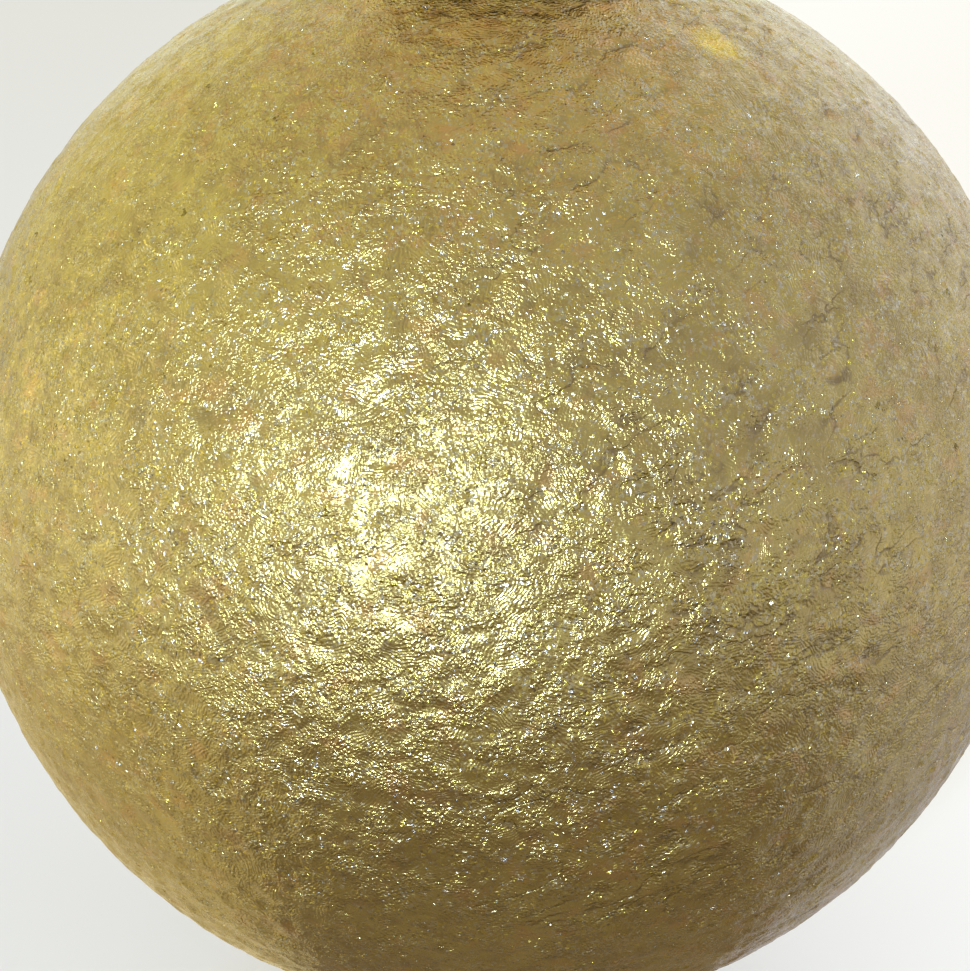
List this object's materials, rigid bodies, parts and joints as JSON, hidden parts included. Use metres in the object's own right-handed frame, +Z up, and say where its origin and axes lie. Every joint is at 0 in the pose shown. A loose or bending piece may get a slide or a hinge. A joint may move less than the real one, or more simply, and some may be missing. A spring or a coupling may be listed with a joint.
{
  "type": "glass ball ornament",
  "caption": "Glass ball ornament with a crinkled gold lacquer coat, fluted metal cap and spring wire hanging loop.",
  "frame": {"origin": "inside top of the wire loop, where a hook bears, so the ornament hangs below it", "axes": "+Z up along the neck and cap axis; the wire loop lies in the XZ plane"},
  "size_m": [0.06, 0.06, 0.0772],
  "materials": {
    "spring_wire": "drawn wire, brass-washed, bright",
    "gold_tinplate": "stamped thin sheet, gold-washed, satin",
    "clear_glass": "blown, clear, bare at the neck",
    "gold_lacquer": "crinkled metallic gold lacquer with fine glitter"
  },
  "bodies": {
    "hanger": {"spring_hanger": "spring_wire"},
    "cap": {"cap_crown": "gold_tinplate"},
    "globe": {"glass_globe": "clear_glass", "lacquer_coat": "gold_lacquer"}
  },
  "joints": [
    {"name": "cap_rise", "type": "slide", "parent": "hanger", "child": "cap", "axis": [0, 0, 1], "range_m": [0, 0.0025]},
    {"name": "globe_pull_off", "type": "slide", "parent": "cap", "child": "globe", "axis": [0, 0, -1], "range_m": [0, 0.018]}
  ]
}
